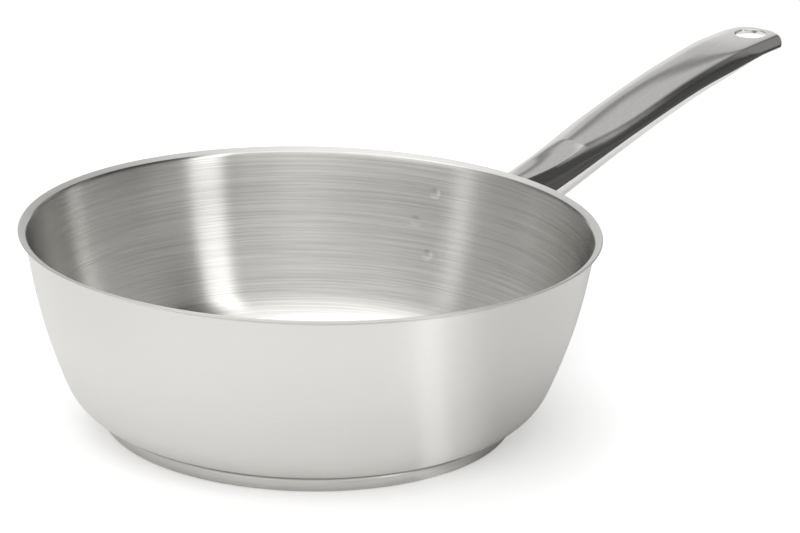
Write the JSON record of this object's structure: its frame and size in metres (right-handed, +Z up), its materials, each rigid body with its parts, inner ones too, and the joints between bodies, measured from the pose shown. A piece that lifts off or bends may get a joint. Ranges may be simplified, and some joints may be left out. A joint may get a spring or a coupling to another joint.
{
  "type": "saucier pan",
  "caption": "Flared stainless saucier pan with a pouring lip, a three-layer base and a long hollow handle with a hanging hole.",
  "frame": {"origin": "centre of the base's flat underside, on the bowl's axis", "axes": "+Z up through the mouth, +X along the handle, the XZ plane is the plane of symmetry"},
  "size_m": [0.4688, 0.2398, 0.1062],
  "materials": {
    "brushed_bowl_steel": "18/10 stainless sheet, satin outside, ring-brushed inside",
    "braze": "thin brazing filler",
    "aluminium_core": "plain rolled disc",
    "cap_steel": "magnetic stainless, ring-brushed, lightly scuffed at the foot",
    "bracket_steel": "pressed stainless plate, satin",
    "weld_metal": "weld metal, brushed clean",
    "polished_handle_steel": "mirror-polished stainless tube"
  },
  "bodies": {
    "root": {"bowl": "brushed_bowl_steel", "upper_braze_layer": "braze", "heat_spreader_disc": "aluminium_core", "lower_braze_layer": "braze", "base_cap": "cap_steel", "handle_bracket": "bracket_steel", "bracket_spot_welds": "weld_metal", "handle_tube": "polished_handle_steel", "handle_root_weld": "weld_metal"}
  },
  "joints": []
}
